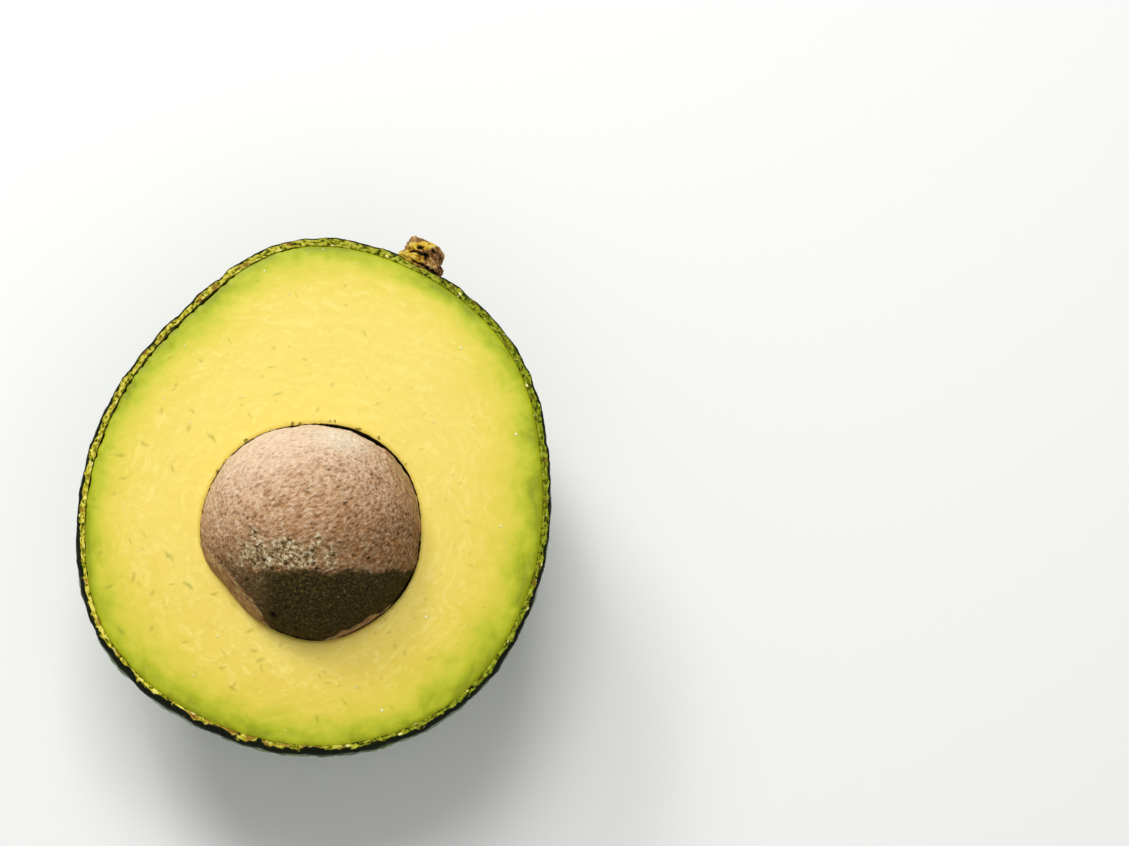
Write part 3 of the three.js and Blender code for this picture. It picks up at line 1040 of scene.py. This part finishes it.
# A painted highlight: the coat turns nearly white round one spot on the stem end's side.
from_highlight = add(tree, "ShaderNodeVectorMath", {0: at, 1: HIGHLIGHT_SPOT}, operation="DISTANCE")
highlight_share = add(
    tree, "ShaderNodeMapRange",
    {"Value": from_highlight.outputs["Value"], "From Min": 6.5, "From Max": 2.0, "To Max": 0.7},
)
highlighted = add(
    tree, "ShaderNodeMix",
    {"Factor": highlight_share.outputs[0], MIX_A: holed.outputs[MIXED], MIX_B: colour("#fff0d8")}, data_type="RGBA",
)
# Painted shade: the lower side of the coat is coloured dark brown, with finer specks.
speck = add(tree, "ShaderNodeTexNoise", {"Vector": at, "Scale": 1 / 0.45, "Detail": 2.0, "Roughness": 0.6})
shade_colour = add(
    tree, "ShaderNodeValToRGB", {"Fac": speck.outputs["Fac"]},
    stops=[(0.32, "#1f1906"), (0.74, "#786439"), (0.45, "#352b0c"), (0.54, "#433712"), (0.63, "#564720")],
)
painted_shade = add(tree, "ShaderNodeAttribute", attribute_name="painted_shade")
coat = add(
    tree, "ShaderNodeMix",
    {"Factor": painted_shade.outputs["Fac"], MIX_A: highlighted.outputs[MIXED], MIX_B: shade_colour.outputs[0]}, data_type="RGBA",
)
from_pit = add(
    tree, "ShaderNodeVectorMath", {0: at, 1: stone_point(PIT_IN_COAT.normalized())}, operation="DISTANCE"
)
in_pit = add(
    tree, "ShaderNodeMapRange",
    {"Value": from_pit.outputs["Value"], "From Min": 0.95, "From Max": 0.5, "To Max": 0.97},
)
pitted = add(
    tree, "ShaderNodeMix",
    {"Factor": in_pit.outputs[0], MIX_A: coat.outputs[MIXED], MIX_B: colour("#0a0702")}, data_type="RGBA",
)
# The crumbs along the edge of the painted shade are painted with pale highlights, and dark shade between
# them.
crumbs_and_glints = add(tree, "ShaderNodeAttribute", attribute_name="crumbs_and_glints")
crumb = add(tree, "ShaderNodeTexNoise", {"Vector": at, "Scale": 1 / 0.7, "Detail": 3.0, "Roughness": 0.65})
crumbs = add(
    tree, "ShaderNodeValToRGB", {"Fac": crumb.outputs["Fac"]},
    stops=[(0.36, "#4a361e"), (0.63, "#fff4d4"), (0.43, "#8c6f49"), (0.5, "#b8976a"), (0.56, "#e2c998")],
)
crumbed = add(
    tree, "ShaderNodeMix",
    {"Factor": crumbs_and_glints.outputs["Fac"], MIX_A: pitted.outputs[MIXED], MIX_B: crumbs.outputs[0]},
    data_type="RGBA",
)
loose = add(tree, "ShaderNodeAttribute", attribute_name="loose")
streak_place = add(tree, "ShaderNodeMapping", {"Vector": at, "Scale": (0.6, 0.6, 2.2)})
streak = add(
    tree, "ShaderNodeTexNoise",
    {"Vector": streak_place.outputs[0], "Scale": 1.0, "Detail": 4.0, "Roughness": 0.65},
)
flap = add(
    tree, "ShaderNodeValToRGB", {"Fac": streak.outputs["Fac"]},
    stops=[(0.34, "#74492c"), (0.64, "#f4e0b4"), (0.44, "#bb8560"), (0.53, "#d0a47c"), (0.58, "#bdb24a")],
)
on_flap = add(
    tree, "ShaderNodeMapRange", {"Value": loose.outputs["Fac"], "From Min": 0.4, "To Max": 0.8}
)
flapped = add(
    tree, "ShaderNodeMix",
    {"Factor": on_flap.outputs[0], MIX_A: crumbed.outputs[MIXED], MIX_B: flap.outputs[0]},
    data_type="RGBA",
)
tree.links.new(flapped.outputs[MIXED], shader.inputs["Base Color"])
shader.inputs["Roughness"].default_value = 0.85
shader.inputs["Specular IOR Level"].default_value = 0.15
bump = add(
    tree, "ShaderNodeBump", {"Height": fleck.outputs["Fac"], "Strength": 1.0, "Distance": 0.8 * MM}
)
crusted = add(
    tree, "ShaderNodeBump",
    {"Height": crumb.outputs["Fac"], "Strength": crumbs_and_glints.outputs["Fac"], "Distance": 1.1 * MM,
     "Normal": bump.outputs[0]},
)
tree.links.new(crusted.outputs["Normal"], shader.inputs["Normal"])
stone.data.materials.append(material)

# %% [markdown]
# ### Cork of the stem button
# Cork is matte and crumbly: brown on the old skin and golden where it broke. Its colour is darker
# the lower its surface lies, to nearly black in its cracks, as painted shade. The height of the
# crumbs and the golden breaks were kept on the mesh.

# %% Cork
material, tree, shader, at = new_material("stem_cork")
crumb = add(tree, "ShaderNodeTexNoise", {"Vector": at, "Scale": 1 / 0.6, "Detail": 4.0, "Roughness": 0.7})
rough = add(tree, "ShaderNodeAttribute", attribute_name="rough")
raised = add(
    tree, "ShaderNodeMath", {0: rough.outputs["Fac"], 1: 0.55, 2: crumb.outputs["Fac"]},
    operation="MULTIPLY_ADD",
)
# Painted shade: both ramps turn darker the lower the surface lies, to nearly black in the cracks.
bark = add(
    tree, "ShaderNodeValToRGB", {"Fac": raised.outputs[0]},
    stops=[(0.26, "#120b06"), (0.64, "#deb878"), (0.35, "#4c2d0d"), (0.43, "#7c5424"), (0.53, "#a67a42")],
)
broken = add(
    tree, "ShaderNodeValToRGB", {"Fac": raised.outputs[0]},
    stops=[(0.22, "#2a1a06"), (0.64, "#f7e27c"), (0.33, "#96690e"), (0.42, "#cf9f20"), (0.52, "#e8c440")],
)
golden = add(tree, "ShaderNodeAttribute", attribute_name="golden")
cork = add(
    tree, "ShaderNodeMix",
    {"Factor": golden.outputs["Fac"], MIX_A: bark.outputs[0], MIX_B: broken.outputs[0]},
    data_type="RGBA",
)
tree.links.new(cork.outputs[MIXED], shader.inputs["Base Color"])
shader.inputs["Roughness"].default_value = 0.8
shader.inputs["Specular IOR Level"].default_value = 0.2
bump = add(
    tree, "ShaderNodeBump", {"Height": crumb.outputs["Fac"], "Strength": 0.9, "Distance": 0.5 * MM}
)
tree.links.new(bump.outputs["Normal"], shader.inputs["Normal"])
stem.data.materials.append(material)

# %% [markdown]
# ## Table and light
# A pale matte table and soft studio light. The key stands high at the top of the picture, so the
# stone hardly shades the face. A smaller one stands lower, to its left, and rakes the stone's grain.
# A wide, weak fill hangs on the other side. The picture is shown without a film curve, because the
# photograph's colours are plain and strong.

# %% Table
TABLE_REACH = 3.0  # metres, from the middle to a side
floor_mesh = bmesh.new()
bmesh.ops.create_grid(floor_mesh, x_segments=1, y_segments=1, size=TABLE_REACH)
floor_data = bpy.data.meshes.new("table")
floor_mesh.to_mesh(floor_data)
floor_mesh.free()
floor = bpy.data.objects.new("table", floor_data)
bpy.context.scene.collection.objects.link(floor)
material, _, shader, _ = new_material("pale_matte_table")
shader.inputs["Base Color"].default_value = colour("#fbfbf9")
shader.inputs["Roughness"].default_value = 0.9
floor.data.materials.append(material)


# %% Lights
def area_light(name, rise, aside, distance, size, power):
    """A square light that looks at the cut face, from the picture's top turned aside, in degrees."""
    data = bpy.data.lights.new(name, "AREA")
    data.size = size
    data.energy = power
    light = bpy.data.objects.new(name, data)
    rise, aside = math.radians(rise), math.radians(aside)
    level = photo_up * math.cos(aside) + photo_right * math.sin(aside)
    towards = level * math.cos(rise) + Vector((0, 0, math.sin(rise)))
    light.location = FACE_MIDDLE * MM + towards * distance
    light.rotation_euler = towards.to_track_quat("Z", "Y").to_euler()
    bpy.context.scene.collection.objects.link(light)


area_light("key", rise=62, aside=-10, distance=0.9, size=0.35, power=3.7)
area_light("rake", rise=40, aside=-30, distance=0.9, size=0.25, power=2.8)
area_light("fill", rise=70, aside=180, distance=1.2, size=1.0, power=1.7)

SKY_STRENGTH = 0.33
world = bpy.data.worlds.new("studio")
world.use_nodes = True
sky = world.node_tree.nodes["Background"]
sky.inputs["Color"].default_value = colour("#ffffff")
sky.inputs["Strength"].default_value = SKY_STRENGTH
bpy.context.scene.world = world
bpy.context.scene.view_settings.view_transform = "Standard"
